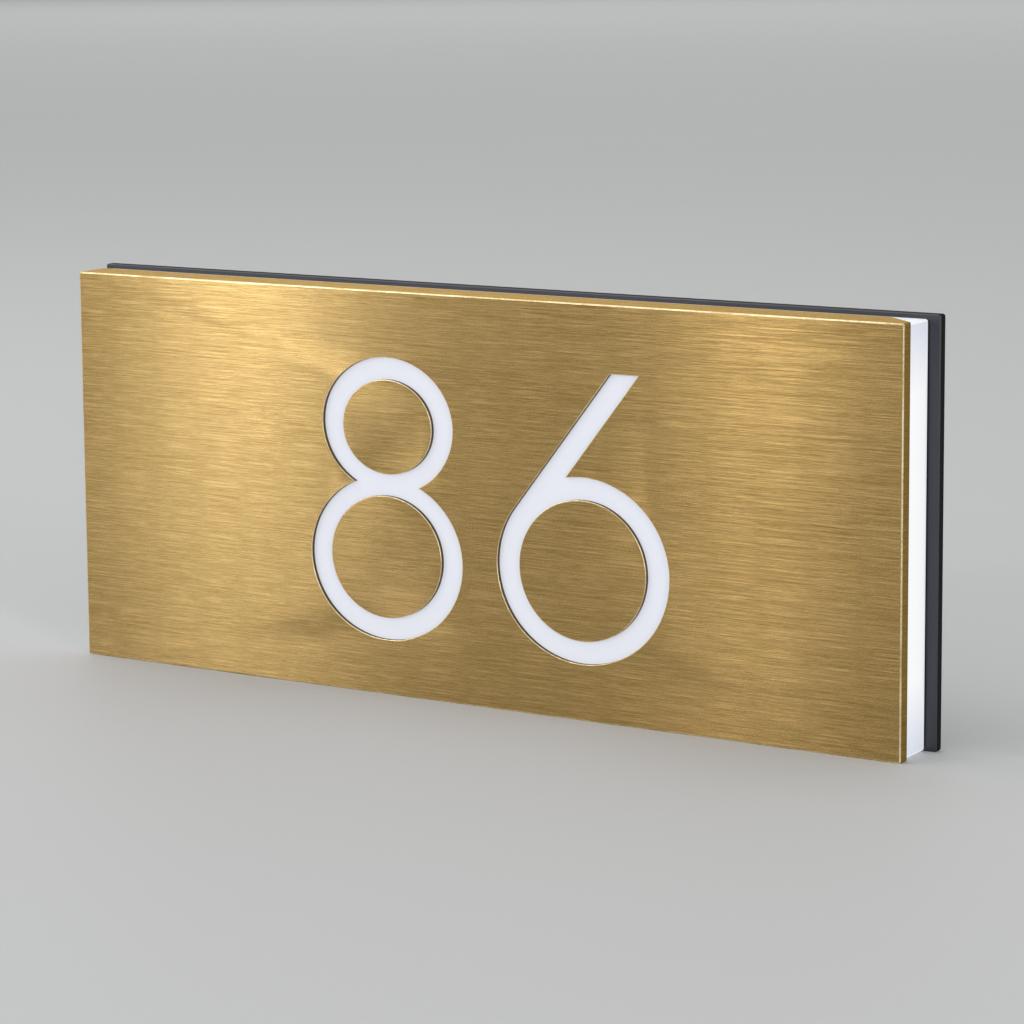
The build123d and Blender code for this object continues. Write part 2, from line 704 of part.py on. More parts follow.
# ---------------------------------------------------------------- the whole sign
def build_nodes():
    """Every node of the sign, by name."""
    nodes = {"face_tray": build_face_tray()}
    nodes.update(build_islands())
    nodes["face_film"] = build_face_film()
    nodes["island_films"] = build_island_films()
    nodes["diffuser_shell"] = build_diffuser_shell()
    nodes["rim_gasket"] = build_rim_gasket()
    nodes["back_plate"] = build_back_plate()
    nodes["reflector_sheet"] = build_reflector_sheet()
    for name, z in zip(BAR_NAMES, BAR_HEIGHTS):
        nodes[f"led_bar_{name}"] = build_led_bar(z)
        nodes[f"led_chips_{name}"] = build_led_chips(z)
    nodes["bar_resistors"] = build_resistors()
    nodes["bar_screws"] = build_bar_screws()
    nodes["jumper_leads_positive"] = build_jumper_leads(JUMPER_X)
    nodes["jumper_leads_negative"] = build_jumper_leads(JUMPER_X - LEAD_SPACING)
    nodes["feed_lead_negative"], nodes["feed_lead_positive"] = map(build_feed_lead, pole_places())
    nodes["terminal_block"] = build_terminal_block()
    nodes["terminal_clamps"] = build_terminal_clamps()
    nodes["terminal_screws"] = build_terminal_screws()
    nodes["terminal_mount_screw"] = build_terminal_mount_screw()
    nodes["cable_grommet"] = build_cable_grommet()
    nodes["top_hooks"] = build_top_hooks()
    nodes["hook_screws"] = build_foot_screws(hook_foot_z())
    nodes["lock_brackets"] = build_lock_brackets()
    nodes["lock_bracket_screws"] = build_foot_screws(bracket_foot_z())
    nodes["lock_screws"] = build_lock_screws()
    return nodes


os.makedirs("parts", exist_ok=True)
for node_name, node_part in build_nodes().items():
    export_step(node_part, f"parts/{node_name}.step")
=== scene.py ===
"""Looks of an illuminated house number sign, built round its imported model.

Sizes are in metres and angles in degrees. The frame is the model's own: X along the width, Y from the front
to the back, Z up, with the origin under the middle of the sign. The front of the brass looks along -Y.
"""

import logging
import math
from dataclasses import dataclass
from enum import Enum

import bmesh
import bpy
from mathutils import Matrix, Vector


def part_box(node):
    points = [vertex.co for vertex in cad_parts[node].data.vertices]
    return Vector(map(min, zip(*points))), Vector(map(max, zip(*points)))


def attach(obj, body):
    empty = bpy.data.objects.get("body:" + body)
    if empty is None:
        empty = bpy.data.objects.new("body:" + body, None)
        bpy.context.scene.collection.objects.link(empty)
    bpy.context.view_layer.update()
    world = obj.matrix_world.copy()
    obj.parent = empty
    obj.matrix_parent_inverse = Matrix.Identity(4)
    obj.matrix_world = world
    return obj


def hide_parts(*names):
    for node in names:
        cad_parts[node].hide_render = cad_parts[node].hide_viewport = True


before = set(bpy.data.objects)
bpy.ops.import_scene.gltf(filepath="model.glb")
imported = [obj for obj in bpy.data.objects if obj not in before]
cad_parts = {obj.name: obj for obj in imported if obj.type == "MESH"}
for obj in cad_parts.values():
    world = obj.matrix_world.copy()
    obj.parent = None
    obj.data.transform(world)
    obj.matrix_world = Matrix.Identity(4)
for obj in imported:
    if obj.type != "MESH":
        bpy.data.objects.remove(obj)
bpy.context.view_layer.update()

LOG = logging.getLogger("house_number_sign")
MM = 0.001
BODY = "root"
PHOTO_SIZE = 1024
SHEET_MAP = "sheet"

# The places of a Mix node's colour sockets, whose names its other kinds of data share.
MIX_FIRST = 6
MIX_SECOND = 7
MIX_RESULT = 2

# How exactly points are merged and cut, and how many digits tell two ends apart.
MERGE_DISTANCE = 2e-6
CUT_DISTANCE = 1e-7
BAND_MARGIN = 1e-5
SPAN_DIGITS = 6

# Turns between two faces: flat below the first, shaded sharp above the second, eased above the third.
FLAT_TURN = 0.5
SHARP_TURN = 40.0
EASED_TURN = 60.0
EASED_FACES = 2

# The slots of a piece's second and third finish.
SECOND_FINISH = 1
THIRD_FINISH = 2

Colour = tuple[float, float, float]
Triple = tuple[float, float, float]
Span = tuple[float, float]
Mesh = bmesh.types.BMesh
Material = bpy.types.Material
Socket = bpy.types.NodeSocket
Feed = Socket | float | tuple

FULL_SPAN: Span = (0.0, 1.0)
NOISE_SPAN: Span = (0.3, 0.7)


class Axis(Enum):
    """The direction that a coordinate is read along."""

    X = 0
    Y = 1
    Z = 2


def shaded(colour: Colour, factor: float) -> Colour:
    """Returns a colour times a factor, held at 1."""
    return tuple(min(1.0, factor * part) for part in colour)


# ---------------------------------------------------------------- node trees


class Graph:
    """The nodes of one material, with short ways to add and join them."""

    def __init__(self, name: str) -> None:
        """Starts a material.

        Args:
            name: the material's name.
        """
        self.material = bpy.data.materials.new(name)
        self.material.use_nodes = True
        self.tree = self.material.node_tree
        self.shader = self.tree.nodes["Principled BSDF"]

    def feed(self, socket: Socket, value: Feed) -> None:
        """Links or sets one input.

        Args:
            socket: the input.
            value: an output to link, or a plain value to set.
        """
        if isinstance(value, Socket):
            self.tree.links.new(value, socket)
        elif isinstance(value, tuple) and len(value) == 3 and socket.type == "RGBA":
            socket.default_value = (*value, 1.0)
        else:
            socket.default_value = value

    def add(self, kind: str, feeds: dict | None = None, **settings: object) -> bpy.types.Node:
        """Adds a shader node.

        Args:
            kind: the node's type without its ShaderNode prefix.
            feeds: a value or an output for each input, by name or number.
            **settings: the node's own properties.

        Returns:
            The new node.
        """
        node = self.tree.nodes.new("ShaderNode" + kind)
        for key, value in settings.items():
            setattr(node, key, value)
        for key, value in (feeds or {}).items():
            self.feed(node.inputs[key], value)
        return node

    def place(self) -> Socket:
        """Returns the object's own coordinates."""
        return self.add("TexCoord").outputs["Object"]

    def sheet_place(self) -> Socket:
        """Returns the coordinates on the flat sheet before it was folded."""
        return self.add("UVMap", uv_map=SHEET_MAP).outputs["UV"]

    def stretch(self, vector: Feed, scale: Triple, shift: Triple = (0, 0, 0)) -> Socket:
        """Scales a place by cycles per metre along each axis, and then shifts it."""
        return self.add("Mapping", {"Vector": vector, "Scale": scale, "Location": shift}).outputs["Vector"]

    def noise(self, vector: Feed, scale: float = 1.0, detail: float = 2.0, rough: float = 0.5) -> Socket:
        """Returns a soft random value from 0 to 1 at a place."""
        feeds = {"Vector": vector, "Scale": scale, "Detail": detail, "Roughness": rough}
        return self.add("TexNoise", feeds).outputs["Fac"]

    def calc(self, operation: str, *values: Feed) -> Socket:
        """Returns the result of a Math node, whose inputs are given in order."""
        return self.add("Math", dict(enumerate(values)), operation=operation).outputs[0]

    def weigh(self, *parts: tuple[Feed, float]) -> Socket:
        """Adds values up, each by its share.

        Args:
            *parts: each value with its share, in the order in which they are added.

        Returns:
            The sum.
        """
        total: Feed = 0.0
        for value, share in parts:
            total = self.calc("MULTIPLY_ADD", value, share, total)
        return total

    def part(self, vector: Feed, axis: Axis) -> Socket:
        """Returns one coordinate of a place."""
        return self.add("SeparateXYZ", {0: vector}).outputs[axis.value]

    def remap(self, value: Feed, span: Span, result: Span = FULL_SPAN) -> Socket:
        """Maps a value's span onto another one, and holds it at the ends.

        Args:
            value: the value.
            span: the values at which the result starts and ends.
            result: the result at the span's start and end.

        Returns:
            The mapped value.
        """
        low, high = span
        to_low, to_high = result
        feeds = {"Value": value, "From Min": low, "From Max": high, "To Min": to_low, "To Max": to_high}
        return self.add("MapRange", feeds).outputs["Result"]

    def blend(self, share: Feed, first: Feed, second: Feed) -> Socket:
        """Returns a mix of two colours, by the share of the second."""
        feeds = {"Factor": share, MIX_FIRST: first, MIX_SECOND: second}
        return self.add("Mix", feeds, data_type="RGBA").outputs[MIX_RESULT]

    def bump(self, height: Feed, depth: float, strength: float) -> None:
        """Lets a height shade the surface.

        Args:
            height: the height from 0 to 1.
            depth: how deep a full step is.
            strength: how much of it shows.
        """
        node = self.add("Bump", {"Height": height, "Distance": depth, "Strength": strength})
        self.feed(self.shader.inputs["Normal"], node.outputs["Normal"])

    def dress(self, **inputs: Feed) -> Material:
        """Sets the main shader's inputs.

        Args:
            **inputs: a value or an output for each input, with _ for each space in its name.

        Returns:
            The finished material.
        """
        for key, value in inputs.items():
            self.feed(self.shader.inputs[key.replace("_", " ")], value)
        return self.material


# ---------------------------------------------------------------- finishes


@dataclass(frozen=True)
class Strokes:
    """Marks of one size in the brushing: noise that is long along the sheet and thin across it."""

    length: float
    height: float
    share: float
    shift: Triple = (0, 0, 0)
    detail: float = 1.0
    rough: float = 0.5

    def draw(self, graph: Graph, place: Socket) -> Socket:
        """Returns the marks' value from 0 to 1 at a place on the sheet."""
        scale = (1 / self.length, 1 / self.height, 1)
        return graph.noise(graph.stretch(place, scale, self.shift), detail=self.detail, rough=self.rough)


@dataclass(frozen=True)
class BrushedBrass:
    """Brass sheet brushed along its length, with streaks that follow the sheet round its folds.

    The roughness runs from the grain's hollows to its crests, and graze is the colour at a flat angle.
    """

    dark: Colour = (0.206, 0.130, 0.038)
    light: Colour = (0.510, 0.342, 0.136)
    graze: Colour = (0.98, 0.77, 0.42)
    roughness: Span = (0.30, 0.20)
    anisotropy: float = 1.0
    quarter_turn: float = 0.25
    streak: Strokes = Strokes(0.090, 0.00044, share=0.5, detail=3.0, rough=0.6)
    hair: Strokes = Strokes(0.030, 0.00020, share=0.5, shift=(3, 7, 2), detail=2.0, rough=0.6)
    fleck: Strokes = Strokes(0.0050, 0.00016, share=0.18, shift=(9, 2, 5))
    scratch: Strokes = Strokes(0.020, 0.00022, share=1.0, shift=(4, 8, 1))
    speck: Strokes = Strokes(0.0006, 0.00030, share=0.15, shift=(2, 6, 3), detail=0.0)
    scratch_span: Span = (0.50, 0.66)
    scratch_lift: Span = (0.036, 0.130)
    grain_share: float = 0.50
    grain_span: Span = (0.38, 0.62)
    grain_depth: float = 0.000006
    grain_strength: float = 0.6
    cloud_scale: Triple = (6, 11, 1)
    cloud_shift: Triple = (1, 4, 0)
    cloud_share: float = 0.05
    tone_span: Span = (0.41, 0.59)
    wave_scale: Triple = (26, 40, 1)
    wave_height: float = 0.00006

    def make(self) -> Material:
        """Makes the finish.

        Returns:
            The material.
        """
        graph = Graph("brushed_brass")
        sheet = graph.sheet_place()
        wave = graph.noise(graph.stretch(sheet, self.wave_scale), detail=1.0)
        along = graph.part(sheet, Axis.X)
        across = graph.calc("MULTIPLY_ADD", wave, self.wave_height, graph.part(sheet, Axis.Y))
        place = graph.add("CombineXYZ", {0: along, 1: across}).outputs[0]
        streak = self.streak.draw(graph, place)
        hair = self.hair.draw(graph, place)
        fleck = self.fleck.draw(graph, place)
        speck = self.speck.draw(graph, place)
        cloud = graph.noise(graph.stretch(sheet, self.cloud_scale, self.cloud_shift), detail=2.0)
        scratch = graph.remap(self.scratch.draw(graph, place), self.scratch_span, self.scratch_lift)
        grain = graph.weigh((streak, self.streak.share), (hair, self.hair.share))
        tone = graph.weigh(
            (fleck, self.fleck.share),
            (speck, self.speck.share),
            (cloud, self.cloud_share),
            (scratch, self.scratch.share),
            (grain, self.grain_share),
        )
        graph.bump(grain, self.grain_depth, self.grain_strength)
        return graph.dress(
            Base_Color=graph.blend(graph.remap(tone, self.tone_span), self.dark, self.light),
            Metallic=1.0,
            Roughness=graph.remap(grain, self.grain_span, self.roughness),
            Specular_Tint=(*self.graze, 1.0),
            Anisotropic=self.anisotropy,
            Anisotropic_Rotation=self.quarter_turn,
            Tangent=graph.add("Tangent", direction_type="UV_MAP", uv_map=SHEET_MAP).outputs[0],
        )


@dataclass(frozen=True)
class EasedBrass:
    """Brass on the folds and eased edges, painted lighter than the face as a highlight, and too narrow to
    show the brushing.
    """

    # Painted highlight: these colours are far lighter than the brushed face, so that the folds and eased
    # edges show a bright line.
    dark: Colour = (0.62, 0.45, 0.20)
    light: Colour = (0.95, 0.80, 0.52)
    graze: Colour = (1.0, 0.86, 0.60)
    roughness: Span = (0.40, 0.28)
    bright_mottle_scale: float = 60.0
    bright_mottle_share: float = 0.6
    nick_scale: float = 900.0
    nick_share: float = 0.4
    nick_span: Span = (0.35, 0.65)
    nick_depth: float = 0.00003
    nick_strength: float = 0.4
    tone_span: Span = (0.38, 0.58)

    def make(self) -> Material:
        """Makes the finish.

        Returns:
            The material.
        """
        graph = Graph("fold_brass_painted_highlight")
        place = graph.place()
        bright_mottle = graph.noise(place, self.bright_mottle_scale, detail=3.0)
        nicks = graph.noise(place, self.nick_scale, detail=2.0)
        tone = graph.weigh((nicks, self.nick_share), (bright_mottle, self.bright_mottle_share))
        graph.bump(nicks, self.nick_depth, self.nick_strength)
        return graph.dress(
            Base_Color=graph.blend(graph.remap(tone, self.tone_span), self.dark, self.light),
            Metallic=1.0,
            Roughness=graph.remap(nicks, self.nick_span, self.roughness),
            Specular_Tint=(*self.graze, 1.0),
        )


@dataclass(frozen=True)
class PaintedShadeCut:
    """The cut edge of the brass sheet, painted dark brown as shade on the numerals' walls, with fine ridges
    across the sheet's thickness.
    """

    # Painted shade: the numerals' walls are coloured dark brown to stand for the shade that lies on them.
    dark: Colour = (0.060, 0.034, 0.014)
    light: Colour = (0.170, 0.105, 0.045)
    roughness: Span = (0.42, 0.60)
    metallic: float = 0.8
    ridge_width: float = 0.0004
    ridge_scale: float = 120.0
    ridge_depth: float = 0.00004
    ridge_strength: float = 0.5
    cloud_scale: float = 90.0

    def make(self) -> Material:
        """Makes the finish.

        Returns:
            The material.
        """
        graph = Graph("cut_edge_painted_shade")
        place = graph.place()
        scale = (1 / self.ridge_width, self.ridge_scale, 1 / self.ridge_width)
        ridges = graph.noise(graph.stretch(place, scale), detail=1.0)
        cloud = graph.noise(place, self.cloud_scale, detail=2.0)
        graph.bump(ridges, self.ridge_depth, self.ridge_strength)
        return graph.dress(
            Base_Color=graph.blend(graph.calc("MULTIPLY", ridges, cloud), self.dark, self.light),
            Metallic=self.metallic,
            Roughness=graph.remap(ridges, NOISE_SPAN, self.roughness),
        )


@dataclass(frozen=True)
class LitOpal:
    """Opal acrylic lit from inside, brightest on the two sides and a little dimmer towards their edges."""

    name: str = "lit_opal"
    body: Colour = (0.43, 0.44, 0.46)
    side_body: Colour = (0.17, 0.175, 0.18)
    front: Colour = (0.477, 0.485, 0.542)
    side: Colour = (0.885, 0.89, 0.90)
    rim: Colour = (0.54, 0.575, 0.70)
    strength: float = 0.90
    refraction: float = 1.49
    roughness: Span = (0.30, 0.38)
    height: float = 0.150
    side_span: Span = (0.169, 0.1725)
    end_span: Span = (0.33, 0.5)
    end_share: float = 0.80
    rear_span: Span = (0.0045, 0.0085)
    rear_share: float = 0.75
    lamp_pitch: float = 0.025
    lamp_share: float = 0.012
    mottle_scale: float = 30.0
    mottle_share: float = 0.03
    fine_scale: float = 5200.0
    fine_depth: float = 0.00001
    fine_strength: float = 0.3

    def make(self) -> Material:
        """Makes the finish.

        Returns:
            The material.
        """
        graph = Graph(self.name)
        place = graph.place()
        sideways = graph.part(place, Axis.X)
        level = graph.calc("DIVIDE", graph.part(place, Axis.Z), self.height)
        from_middle = graph.calc("ABSOLUTE", graph.calc("SUBTRACT", level, 0.5))
        aside = graph.remap(graph.calc("ABSOLUTE", sideways), self.side_span)
        ends = graph.remap(from_middle, self.end_span, (0.0, self.end_share))
        rear = graph.remap(graph.part(place, Axis.Y), self.rear_span, (0.0, self.rear_share))
        edge = graph.calc("MULTIPLY", aside, graph.calc("MAXIMUM", ends, rear))
        lamps = graph.calc("COSINE", graph.calc("MULTIPLY", sideways, math.tau / self.lamp_pitch))
        cloud = graph.noise(place, self.mottle_scale, detail=1.0)
        glow = graph.calc("MULTIPLY_ADD", lamps, self.lamp_share, cloud)
        mottle = graph.remap(glow, NOISE_SPAN, (self.mottle_share, -self.mottle_share))
        core = graph.blend(aside, self.front, self.side)
        fine = graph.noise(place, self.fine_scale, detail=2.0)
        graph.bump(fine, self.fine_depth, self.fine_strength)
        return graph.dress(
            Base_Color=graph.blend(aside, self.body, self.side_body),
            Roughness=graph.remap(fine, NOISE_SPAN, self.roughness),
            IOR=self.refraction,
            Emission_Color=graph.blend(graph.calc("ADD", edge, mottle), core, self.rim),
            Emission_Strength=self.strength,
        )


@dataclass(frozen=True)
class Coating:
    """A sprayed, moulded or plated surface: a tone with fine grain, slow clouding and a light texture."""

    name: str
    tone: Colour
    variation: float
    roughness: float
    spread: float
    grain_size: float
    grain_depth: float
    cloud_size: float
    metallic: float = 0.0
    specular: float = 0.5
    stretch: Triple = (1.0, 1.0, 1.0)
    grain_share: float = 0.45
    grain_strength: float = 0.6
    cloud_share: float = 0.55
    tone_span: Span = (0.36, 0.64)

    def make(self) -> Material:
        """Makes the finish.

        Returns:
            The material.
        """
        graph = Graph(self.name)
        place = graph.stretch(graph.place(), self.stretch)
        grain = graph.noise(place, 1 / self.grain_size, detail=2.0, rough=0.6)
        cloud = graph.noise(place, 1 / self.cloud_size, detail=3.0)
        tone = graph.weigh((cloud, self.cloud_share), (grain, self.grain_share))
        dark = shaded(self.tone, 1 - self.variation)
        light = shaded(self.tone, 1 + self.variation)
        roughness = (self.roughness - self.spread, self.roughness + self.spread)
        graph.bump(grain, self.grain_depth, self.grain_strength)
        return graph.dress(
            Base_Color=graph.blend(graph.remap(tone, self.tone_span), dark, light),
            Roughness=graph.remap(tone, self.tone_span, roughness),
            Metallic=self.metallic,
            Specular_IOR_Level=self.specular,
        )


@dataclass(frozen=True)
class MaskedBoard:
    """A circuit board under white solder mask, with two raised tracks that run along each bar."""

    mask: Colour = (0.74, 0.76, 0.75)
    mask_shade: float = 0.95
    track: Colour = (0.60, 0.63, 0.58)
    track_share: float = 0.55
    roughness: Span = (0.32, 0.44)
    bar_pitch: float = 0.032
    track_offset: float = 0.0031
    track_half: float = 0.0007
    track_top: float = 0.7
    track_depth: float = 0.00004
    track_strength: float = 0.6
    grain_scale: float = 2600.0
    grain_share: float = 0.1

    def make(self) -> Material:
        """Makes the finish.

        Returns:
            The material.
        """
        graph = Graph("masked_board")
        place = graph.place()
        middle = sum(point.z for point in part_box("led_bar_bottom")) / 2
        height = graph.calc("SUBTRACT", graph.part(place, Axis.Z), middle - self.bar_pitch / 2)
        repeated = graph.calc("FLOORED_MODULO", height, self.bar_pitch)
        from_middle = graph.calc("ABSOLUTE", graph.calc("SUBTRACT", repeated, self.bar_pitch / 2))
        from_track = graph.calc("ABSOLUTE", graph.calc("SUBTRACT", from_middle, self.track_offset))
        copper = graph.remap(from_track, (self.track_half, self.track_half * self.track_top))
        grain = graph.noise(place, self.grain_scale, detail=2.0)
        relief = graph.calc("MULTIPLY_ADD", grain, self.grain_share, copper)
        mask = graph.blend(grain, self.mask, shaded(self.mask, self.mask_shade))
        graph.bump(relief, self.track_depth, self.track_strength)
        return graph.dress(
            Base_Color=graph.blend(graph.calc("MULTIPLY", copper, self.track_share), mask, self.track),
            Roughness=graph.remap(grain, NOISE_SPAN, self.roughness),
        )


class Stock(Enum):
    """The plain finishes of the parts that the brass and the opal leave."""

    SATIN_BLACK = Coating(
        "satin_black_plate", tone=(0.010, 0.0115, 0.021), variation=0.15, roughness=0.34, spread=0.05,
        grain_size=0.00045, grain_depth=0.000012, cloud_size=0.05, specular=0.70,
    )
    SAWN_BLACK = Coating(
        "sawn_black_edge", tone=(0.008, 0.008, 0.009), variation=0.25, roughness=0.82, spread=0.06,
        grain_size=0.0003, grain_depth=0.00004, cloud_size=0.02, specular=0.15,
    )
    SEAL_FOAM = Coating(
        "seal_foam", tone=(0.013, 0.013, 0.014), variation=0.30, roughness=0.92, spread=0.05,
        grain_size=0.0005, grain_depth=0.00008, cloud_size=0.01, specular=0.2,
    )
    WHITE_SHEET = Coating(
        "white_reflector_sheet", tone=(0.80, 0.81, 0.82), variation=0.03, roughness=0.34, spread=0.06,
        grain_size=0.0008, grain_depth=0.000006, cloud_size=0.02,
    )
    BOND_FILM = Coating(
        "bonding_film", tone=(0.42, 0.42, 0.40), variation=0.10, roughness=0.45, spread=0.06,
        grain_size=0.0010, grain_depth=0.00001, cloud_size=0.012,
    )
    PHOSPHOR = Coating(
        "led_phosphor", tone=(0.83, 0.58, 0.10), variation=0.08, roughness=0.32, spread=0.05,
        grain_size=0.00015, grain_depth=0.000008, cloud_size=0.002,
    )
    LED_CASE = Coating(
        "led_case", tone=(0.82, 0.82, 0.80), variation=0.03, roughness=0.42, spread=0.04,
        grain_size=0.0002, grain_depth=0.000004, cloud_size=0.004,
    )
    CHIP_BLACK = Coating(
        "resistor_glaze", tone=(0.016, 0.016, 0.019), variation=0.20, roughness=0.38, spread=0.06,
        grain_size=0.0002, grain_depth=0.000006, cloud_size=0.002,
    )
    TINNED = Coating(
        "tinned_ends", tone=(0.66, 0.67, 0.69), variation=0.10, roughness=0.33, spread=0.08,
        grain_size=0.0002, grain_depth=0.000006, cloud_size=0.002, metallic=1.0,
    )
    PLATED_STEEL = Coating(
        "plated_steel", tone=(0.56, 0.57, 0.59), variation=0.14, roughness=0.30, spread=0.08,
        grain_size=0.0004, grain_depth=0.0000025, cloud_size=0.006, metallic=1.0,
    )
    BRACKET_STEEL = Coating(
        "bracket_steel", tone=(0.50, 0.51, 0.53), variation=0.16, roughness=0.38, spread=0.09,
        grain_size=0.0007, grain_depth=0.00001, cloud_size=0.009, metallic=1.0, stretch=(0.25, 1.0, 1.0),
    )
    NICKEL = Coating(
        "nickel_clamp", tone=(0.64, 0.61, 0.54), variation=0.12, roughness=0.28, spread=0.07,
        grain_size=0.0003, grain_depth=0.000006, cloud_size=0.004, metallic=1.0,
    )
    RED_SLEEVE = Coating(
        "red_sleeve", tone=(0.46, 0.022, 0.018), variation=0.10, roughness=0.40, spread=0.06,
        grain_size=0.0003, grain_depth=0.000006, cloud_size=0.006,
    )
    BLACK_SLEEVE = Coating(
        "black_sleeve", tone=(0.018, 0.018, 0.020), variation=0.18, roughness=0.40, spread=0.06,
        grain_size=0.0003, grain_depth=0.000006, cloud_size=0.006,
    )
    TERMINAL_BODY = Coating(
        "terminal_body", tone=(0.72, 0.70, 0.63), variation=0.05, roughness=0.42, spread=0.06,
        grain_size=0.0004, grain_depth=0.00001, cloud_size=0.008,
    )
    RUBBER = Coating(
        "grommet_rubber", tone=(0.022, 0.022, 0.023), variation=0.18, roughness=0.66, spread=0.07,
        grain_size=0.0004, grain_depth=0.00002, cloud_size=0.008, specular=0.3,
    )


Finish = BrushedBrass | EasedBrass | PaintedShadeCut | LitOpal | MaskedBoard | Stock


class Finishes:
    """Makes each finish once and hands it out."""

    def __init__(self) -> None:
        """Starts with no finish made."""
        self.made: dict[str, Material] = {}

    def get(self, finish: Finish) -> Material:
        """Hands out a finish, and makes it the first time.

        Args:
            finish: a finish's own dataclass, or a plain one from Stock.

        Returns:
            Its material.
        """
        source = finish.value if isinstance(finish, Stock) else finish
        if repr(source) not in self.made:
            self.made[repr(source)] = source.make()
        return self.made[repr(source)]


FINISHES = Finishes()


# ---------------------------------------------------------------- shared mesh work


def clean_copy(node: str) -> Mesh:
    """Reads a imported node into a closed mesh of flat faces.

    Args:
        node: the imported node's name.

    Returns:
        A bmesh with its doubles merged and its coplanar triangles joined.
    """
    mesh = bmesh.new()
    mesh.from_mesh(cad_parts[node].data)
    bmesh.ops.remove_doubles(mesh, verts=mesh.verts, dist=MERGE_DISTANCE)
    limit = math.radians(FLAT_TURN)
    bmesh.ops.dissolve_limit(mesh, angle_limit=limit, verts=mesh.verts, edges=mesh.edges)
    return mesh


def ease_edges(
    mesh: Mesh, width: float, faces: int = EASED_FACES, least: float = EASED_TURN, deepest: float = math.inf
) -> None:
    """Rounds the convex edges that turn by more than an angle.

    Args:
        mesh: the mesh to work on.
        width: the width of the rounding.
        faces: how many faces go round it.
        least: the smallest turn that counts.
        deepest: edges with a point farther back than this Y stay sharp.
    """
    limit = math.radians(least)
    sharp = [
        edge
        for edge in mesh.edges
        if edge.is_manifold
        and edge.calc_face_angle_signed(0.0) > limit
        and max(point.co.y for point in edge.verts) < deepest
    ]
    bmesh.ops.bevel(
        mesh, geom=sharp, offset=width, offset_type="OFFSET", affect="EDGES", segments=faces, profile=0.5,
        material=-1, clamp_overlap=True,
    )


def loose_spans(mesh: Mesh, axis: Axis) -> set[Span]:
    """Measures each loose part of a mesh along an axis.

    Args:
        mesh: the mesh to measure.
        axis: the axis to measure along.

    Returns:
        From where to where each part reaches, with parts that reach alike counted once.
    """
    spans = set()
    left = set(mesh.verts)
    while left:
        start = left.pop()
        part, open_points = [start], [start]
        while open_points:
            for edge in open_points.pop().link_edges:
                for point in edge.verts:
                    if point in left:
                        left.remove(point)
                        part.append(point)
                        open_points.append(point)
        reach = [point.co[axis.value] for point in part]
        spans.add((round(min(reach), SPAN_DIGITS), round(max(reach), SPAN_DIGITS)))
    return spans


def band_ends(mesh: Mesh, axis: Axis, length: float) -> None:
    """Cuts a band off both ends of each loose part and gives it the second finish.

    Args:
        mesh: the mesh to work on.
        axis: the axis along which the parts lie.
        length: how long each band is.
    """
    normal = Vector([float(place == axis.value) for place in range(3)])
    spans = loose_spans(mesh, axis)
    bands = [band for low, high in spans for band in ((low, low + length), (high - length, high))]
    for place in sorted({end for band in bands for end in band}):
        geometry = mesh.verts[:] + mesh.edges[:] + mesh.faces[:]
        bmesh.ops.bisect_plane(
            mesh, geom=geometry, dist=CUT_DISTANCE, plane_co=normal * place, plane_no=normal
        )
    for face in mesh.faces:
        middle = face.calc_center_median()[axis.value]
        if any(low - BAND_MARGIN < middle < high + BAND_MARGIN for low, high in bands):
            face.material_index = SECOND_FINISH


def shade(mesh: Mesh) -> None:
    """Shades faces smooth and keeps the sharp edges.

    Args:
        mesh: the mesh to work on.
    """
    limit = math.radians(SHARP_TURN)
    for face in mesh.faces:
        face.smooth = True
    for edge in mesh.edges:
        edge.smooth = edge.is_manifold and edge.calc_face_angle(0.0) < limit


def add_piece(mesh: Mesh, name: str, materials: list[Material]) -> bpy.types.Object:
    """Turns a bmesh into a piece that rides on the sign.

    Args:
        mesh: the finished bmesh, which is freed.
        name: the piece's name.
        materials: its materials in slot order.

    Returns:
        The piece.
    """
    data = bpy.data.meshes.new(name)
    open_edges = sum(not edge.is_manifold for edge in mesh.edges)
    mesh.to_mesh(data)
    mesh.free()
    piece = bpy.data.objects.new(name, data)
    for material in materials:
        data.materials.append(material)
    bpy.context.scene.collection.objects.link(piece)
    weighted = piece.modifiers.new("flat faces stay flat", "WEIGHTED_NORMAL")
    weighted.keep_sharp = True
    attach(piece, BODY)
    LOG.info("%s: %d faces, %d open edges", name, len(data.polygons), open_edges)
    return piece


def build_piece(
    node: str, name: str, finishes: list[Finish], mesh: Mesh | None = None, eased: float = 0.0
) -> None:
    """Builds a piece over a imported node.

    Args:
        node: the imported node.
        name: the new piece's name.
        finishes: its finishes in slot order.
        mesh: the piece's mesh, or None for a copy of the node's.
        eased: the width of the rounding on its sharp edges, or 0 for none.
    """
    mesh = mesh or clean_copy(node)
    if eased:
        ease_edges(mesh, eased)
    shade(mesh)
    piece = add_piece(mesh, name, [FINISHES.get(finish) for finish in finishes])
    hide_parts(node)


def dress_node(node: str, finish: Finish) -> None:
    """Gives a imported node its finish.

    Args:
        node: the node's name.
        finish: the finish.
    """
    material = FINISHES.get(finish)
    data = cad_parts[node].data
    data.materials.clear()
    data.materials.append(material)
    LOG.info("%s: %s", node, material.name)


# ---------------------------------------------------------------- sub-assemblies


